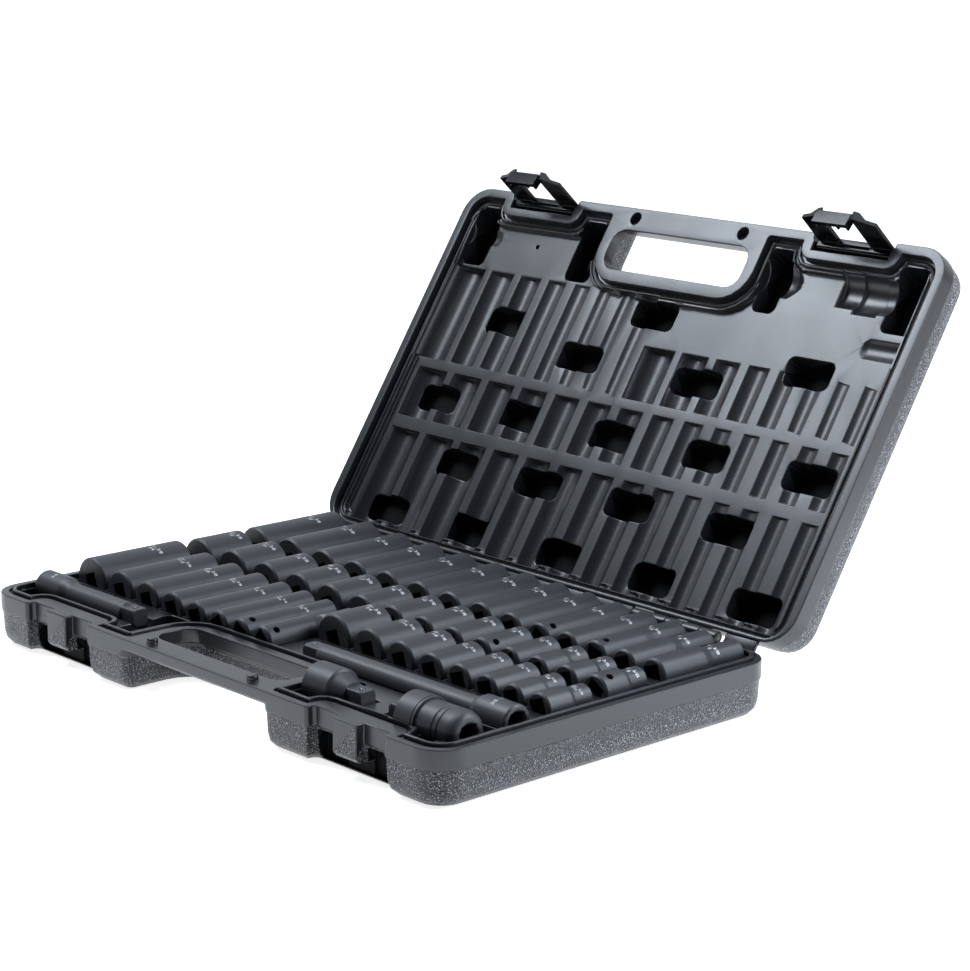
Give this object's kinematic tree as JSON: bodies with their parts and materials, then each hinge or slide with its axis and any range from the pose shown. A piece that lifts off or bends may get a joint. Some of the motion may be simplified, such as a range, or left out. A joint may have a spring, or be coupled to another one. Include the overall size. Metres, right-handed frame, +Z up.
{
  "type": "socket set in case",
  "caption": "Impact socket set in an open moulded carrying case: rows of deep and shallow sockets, extensions, adapter and universal joint under a hinged lid with snap latches.",
  "frame": {"origin": "centre of the underside of the case's base", "axes": "+X along the case towards the smaller sockets, +Y towards the hinge, +Z up"},
  "size_m": [0.38, 0.3856, 0.2467],
  "materials": {
    "case_plastic": "satin, grained outside",
    "latch_plastic": "satin",
    "tool_steel": "black phosphate",
    "bright_steel": "plain"
  },
  "bodies": {
    "case_base": {"base_shell": "case_plastic", "hinge_pins": "bright_steel"},
    "lid": {"lid_shell": "case_plastic"},
    "latch_left": {"latch_left": "latch_plastic"},
    "latch_right": {"latch_right": "latch_plastic"},
    "deep_socket_22mm": {"deep_socket_22mm": "tool_steel"},
    "deep_socket_21mm": {"deep_socket_21mm": "tool_steel"},
    "deep_socket_19mm": {"deep_socket_19mm": "tool_steel"},
    "deep_socket_18mm": {"deep_socket_18mm": "tool_steel"},
    "deep_socket_17mm": {"deep_socket_17mm": "tool_steel"},
    "deep_socket_16mm": {"deep_socket_16mm": "tool_steel"},
    "deep_socket_15mm": {"deep_socket_15mm": "tool_steel"},
    "deep_socket_14mm": {"deep_socket_14mm": "tool_steel"},
    "deep_socket_13mm": {"deep_socket_13mm": "tool_steel"},
    "deep_socket_12mm": {"deep_socket_12mm": "tool_steel"},
    "deep_socket_11mm": {"deep_socket_11mm": "tool_steel"},
    "deep_socket_10mm": {"deep_socket_10mm": "tool_steel"},
    "deep_socket_9mm": {"deep_socket_9mm": "tool_steel"},
    "deep_socket_8mm": {"deep_socket_8mm": "tool_steel"},
    "shallow_socket_22mm": {"shallow_socket_22mm": "tool_steel"},
    "shallow_socket_21mm": {"shallow_socket_21mm": "tool_steel"},
    "shallow_socket_19mm": {"shallow_socket_19mm": "tool_steel"},
    "shallow_socket_18mm": {"shallow_socket_18mm": "tool_steel"},
    "shallow_socket_17mm": {"shallow_socket_17mm": "tool_steel"},
    "shallow_socket_16mm": {"shallow_socket_16mm": "tool_steel"},
    "shallow_socket_15mm": {"shallow_socket_15mm": "tool_steel"},
    "shallow_socket_14mm": {"shallow_socket_14mm": "tool_steel"},
    "shallow_socket_13mm": {"shallow_socket_13mm": "tool_steel"},
    "shallow_socket_12mm": {"shallow_socket_12mm": "tool_steel"},
    "shallow_socket_11mm": {"shallow_socket_11mm": "tool_steel"},
    "shallow_socket_10mm": {"shallow_socket_10mm": "tool_steel"},
    "shallow_socket_9mm": {"shallow_socket_9mm": "tool_steel"},
    "shallow_socket_8mm": {"shallow_socket_8mm": "tool_steel"},
    "deep_socket_3_4in": {"deep_socket_3_4in": "tool_steel"},
    "deep_socket_11_16in": {"deep_socket_11_16in": "tool_steel"},
    "deep_socket_5_8in": {"deep_socket_5_8in": "tool_steel"},
    "deep_socket_9_16in": {"deep_socket_9_16in": "tool_steel"},
    "deep_socket_1_2in": {"deep_socket_1_2in": "tool_steel"},
    "deep_socket_7_16in": {"deep_socket_7_16in": "tool_steel"},
    "deep_socket_3_8in": {"deep_socket_3_8in": "tool_steel"},
    "deep_socket_5_16in": {"deep_socket_5_16in": "tool_steel"},
    "shallow_socket_3_4in": {"shallow_socket_3_4in": "tool_steel"},
    "shallow_socket_11_16in": {"shallow_socket_11_16in": "tool_steel"},
    "shallow_socket_5_8in": {"shallow_socket_5_8in": "tool_steel"},
    "shallow_socket_9_16in": {"shallow_socket_9_16in": "tool_steel"},
    "shallow_socket_1_2in": {"shallow_socket_1_2in": "tool_steel"},
    "shallow_socket_7_16in": {"shallow_socket_7_16in": "tool_steel"},
    "shallow_socket_3_8in": {"shallow_socket_3_8in": "tool_steel"},
    "shallow_socket_5_16in": {"shallow_socket_5_16in": "tool_steel"},
    "extension_short": {"extension_short": "tool_steel", "extension_short_ball": "bright_steel"},
    "extension_long": {"extension_long": "tool_steel", "extension_long_ball": "bright_steel"},
    "adapter": {"adapter": "tool_steel", "adapter_ball": "bright_steel"},
    "universal_housing": {"universal_housing": "tool_steel", "universal_ring": "tool_steel"},
    "universal_pin": {"universal_pin": "bright_steel"},
    "universal_drive": {"universal_drive": "tool_steel", "universal_drive_ball": "bright_steel"}
  },
  "joints": [
    {"name": "lid_hinge", "type": "hinge", "parent": "case_base", "child": "lid", "pos_m": [0, 0.121, 0.03], "axis": [-1, 0, 0], "range_deg": [-122.98, 0]},
    {"name": "latch_left_pivot", "type": "hinge", "parent": "lid", "child": "latch_left", "pos_m": [-0.1225, 0.25028, 0.22172], "axis": [-1, 0, 0], "range_deg": [-9, 85]},
    {"name": "latch_right_pivot", "type": "hinge", "parent": "lid", "child": "latch_right", "pos_m": [0.1225, 0.25028, 0.22172], "axis": [-1, 0, 0], "range_deg": [-9, 85]},
    {"name": "deep_socket_22mm_lift", "type": "slide", "parent": "case_base", "child": "deep_socket_22mm", "axis": [0, 0, 1], "range_m": [0, 0.045]},
    {"name": "deep_socket_21mm_lift", "type": "slide", "parent": "case_base", "child": "deep_socket_21mm", "axis": [0, 0, 1], "range_m": [0, 0.045]},
    {"name": "deep_socket_19mm_lift", "type": "slide", "parent": "case_base", "child": "deep_socket_19mm", "axis": [0, 0, 1], "range_m": [0, 0.045]},
    {"name": "deep_socket_18mm_lift", "type": "slide", "parent": "case_base", "child": "deep_socket_18mm", "axis": [0, 0, 1], "range_m": [0, 0.045]},
    {"name": "deep_socket_17mm_lift", "type": "slide", "parent": "case_base", "child": "deep_socket_17mm", "axis": [0, 0, 1], "range_m": [0, 0.045]},
    {"name": "deep_socket_16mm_lift", "type": "slide", "parent": "case_base", "child": "deep_socket_16mm", "axis": [0, 0, 1], "range_m": [0, 0.045]},
    {"name": "deep_socket_15mm_lift", "type": "slide", "parent": "case_base", "child": "deep_socket_15mm", "axis": [0, 0, 1], "range_m": [0, 0.045]},
    {"name": "deep_socket_14mm_lift", "type": "slide", "parent": "case_base", "child": "deep_socket_14mm", "axis": [0, 0, 1], "range_m": [0, 0.045]},
    {"name": "deep_socket_13mm_lift", "type": "slide", "parent": "case_base", "child": "deep_socket_13mm", "axis": [0, 0, 1], "range_m": [0, 0.045]},
    {"name": "deep_socket_12mm_lift", "type": "slide", "parent": "case_base", "child": "deep_socket_12mm", "axis": [0, 0, 1], "range_m": [0, 0.045]},
    {"name": "deep_socket_11mm_lift", "type": "slide", "parent": "case_base", "child": "deep_socket_11mm", "axis": [0, 0, 1], "range_m": [0, 0.045]},
    {"name": "deep_socket_10mm_lift", "type": "slide", "parent": "case_base", "child": "deep_socket_10mm", "axis": [0, 0, 1], "range_m": [0, 0.045]},
    {"name": "deep_socket_9mm_lift", "type": "slide", "parent": "case_base", "child": "deep_socket_9mm", "axis": [0, 0, 1], "range_m": [0, 0.045]},
    {"name": "deep_socket_8mm_lift", "type": "slide", "parent": "case_base", "child": "deep_socket_8mm", "axis": [0, 0, 1], "range_m": [0, 0.045]},
    {"name": "shallow_socket_22mm_lift", "type": "slide", "parent": "case_base", "child": "shallow_socket_22mm", "axis": [0, 0, 1], "range_m": [0, 0.045]},
    {"name": "shallow_socket_21mm_lift", "type": "slide", "parent": "case_base", "child": "shallow_socket_21mm", "axis": [0, 0, 1], "range_m": [0, 0.045]},
    {"name": "shallow_socket_19mm_lift", "type": "slide", "parent": "case_base", "child": "shallow_socket_19mm", "axis": [0, 0, 1], "range_m": [0, 0.045]},
    {"name": "shallow_socket_18mm_lift", "type": "slide", "parent": "case_base", "child": "shallow_socket_18mm", "axis": [0, 0, 1], "range_m": [0, 0.045]},
    {"name": "shallow_socket_17mm_lift", "type": "slide", "parent": "case_base", "child": "shallow_socket_17mm", "axis": [0, 0, 1], "range_m": [0, 0.045]},
    {"name": "shallow_socket_16mm_lift", "type": "slide", "parent": "case_base", "child": "shallow_socket_16mm", "axis": [0, 0, 1], "range_m": [0, 0.045]},
    {"name": "shallow_socket_15mm_lift", "type": "slide", "parent": "case_base", "child": "shallow_socket_15mm", "axis": [0, 0, 1], "range_m": [0, 0.045]},
    {"name": "shallow_socket_14mm_lift", "type": "slide", "parent": "case_base", "child": "shallow_socket_14mm", "axis": [0, 0, 1], "range_m": [0, 0.045]},
    {"name": "shallow_socket_13mm_lift", "type": "slide", "parent": "case_base", "child": "shallow_socket_13mm", "axis": [0, 0, 1], "range_m": [0, 0.045]},
    {"name": "shallow_socket_12mm_lift", "type": "slide", "parent": "case_base", "child": "shallow_socket_12mm", "axis": [0, 0, 1], "range_m": [0, 0.045]},
    {"name": "shallow_socket_11mm_lift", "type": "slide", "parent": "case_base", "child": "shallow_socket_11mm", "axis": [0, 0, 1], "range_m": [0, 0.045]},
    {"name": "shallow_socket_10mm_lift", "type": "slide", "parent": "case_base", "child": "shallow_socket_10mm", "axis": [0, 0, 1], "range_m": [0, 0.045]},
    {"name": "shallow_socket_9mm_lift", "type": "slide", "parent": "case_base", "child": "shallow_socket_9mm", "axis": [0, 0, 1], "range_m": [0, 0.045]},
    {"name": "shallow_socket_8mm_lift", "type": "slide", "parent": "case_base", "child": "shallow_socket_8mm", "axis": [0, 0, 1], "range_m": [0, 0.045]},
    {"name": "deep_socket_3_4in_lift", "type": "slide", "parent": "case_base", "child": "deep_socket_3_4in", "axis": [0, 0, 1], "range_m": [0, 0.045]},
    {"name": "deep_socket_11_16in_lift", "type": "slide", "parent": "case_base", "child": "deep_socket_11_16in", "axis": [0, 0, 1], "range_m": [0, 0.045]},
    {"name": "deep_socket_5_8in_lift", "type": "slide", "parent": "case_base", "child": "deep_socket_5_8in", "axis": [0, 0, 1], "range_m": [0, 0.045]},
    {"name": "deep_socket_9_16in_lift", "type": "slide", "parent": "case_base", "child": "deep_socket_9_16in", "axis": [0, 0, 1], "range_m": [0, 0.045]},
    {"name": "deep_socket_1_2in_lift", "type": "slide", "parent": "case_base", "child": "deep_socket_1_2in", "axis": [0, 0, 1], "range_m": [0, 0.045]},
    {"name": "deep_socket_7_16in_lift", "type": "slide", "parent": "case_base", "child": "deep_socket_7_16in", "axis": [0, 0, 1], "range_m": [0, 0.045]},
    {"name": "deep_socket_3_8in_lift", "type": "slide", "parent": "case_base", "child": "deep_socket_3_8in", "axis": [0, 0, 1], "range_m": [0, 0.045]},
    {"name": "deep_socket_5_16in_lift", "type": "slide", "parent": "case_base", "child": "deep_socket_5_16in", "axis": [0, 0, 1], "range_m": [0, 0.045]},
    {"name": "shallow_socket_3_4in_lift", "type": "slide", "parent": "case_base", "child": "shallow_socket_3_4in", "axis": [0, 0, 1], "range_m": [0, 0.045]},
    {"name": "shallow_socket_11_16in_lift", "type": "slide", "parent": "case_base", "child": "shallow_socket_11_16in", "axis": [0, 0, 1], "range_m": [0, 0.045]},
    {"name": "shallow_socket_5_8in_lift", "type": "slide", "parent": "case_base", "child": "shallow_socket_5_8in", "axis": [0, 0, 1], "range_m": [0, 0.045]},
    {"name": "shallow_socket_9_16in_lift", "type": "slide", "parent": "case_base", "child": "shallow_socket_9_16in", "axis": [0, 0, 1], "range_m": [0, 0.045]},
    {"name": "shallow_socket_1_2in_lift", "type": "slide", "parent": "case_base", "child": "shallow_socket_1_2in", "axis": [0, 0, 1], "range_m": [0, 0.045]},
    {"name": "shallow_socket_7_16in_lift", "type": "slide", "parent": "case_base", "child": "shallow_socket_7_16in", "axis": [0, 0, 1], "range_m": [0, 0.045]},
    {"name": "shallow_socket_3_8in_lift", "type": "slide", "parent": "case_base", "child": "shallow_socket_3_8in", "axis": [0, 0, 1], "range_m": [0, 0.045]},
    {"name": "shallow_socket_5_16in_lift", "type": "slide", "parent": "case_base", "child": "shallow_socket_5_16in", "axis": [0, 0, 1], "range_m": [0, 0.045]},
    {"name": "extension_short_lift", "type": "slide", "parent": "case_base", "child": "extension_short", "axis": [0, 0, 1], "range_m": [0, 0.045]},
    {"name": "extension_long_lift", "type": "slide", "parent": "case_base", "child": "extension_long", "axis": [0, 0, 1], "range_m": [0, 0.045]},
    {"name": "adapter_lift", "type": "slide", "parent": "case_base", "child": "adapter", "axis": [0, 0, 1], "range_m": [0, 0.045]},
    {"name": "universal_housing_lift", "type": "slide", "parent": "case_base", "child": "universal_housing", "axis": [0, 0, 1], "range_m": [0, 0.045]},
    {"name": "universal_swivel", "type": "hinge", "parent": "universal_housing", "child": "universal_pin", "pos_m": [0.146, -0.086, 0.0295], "axis": [0, 0, 1], "range_deg": [-11, 11]},
    {"name": "universal_tilt", "type": "hinge", "parent": "universal_pin", "child": "universal_drive", "pos_m": [0.146, -0.086, 0.0295], "axis": [0, 1, 0], "range_deg": [-11, 11]}
  ]
}
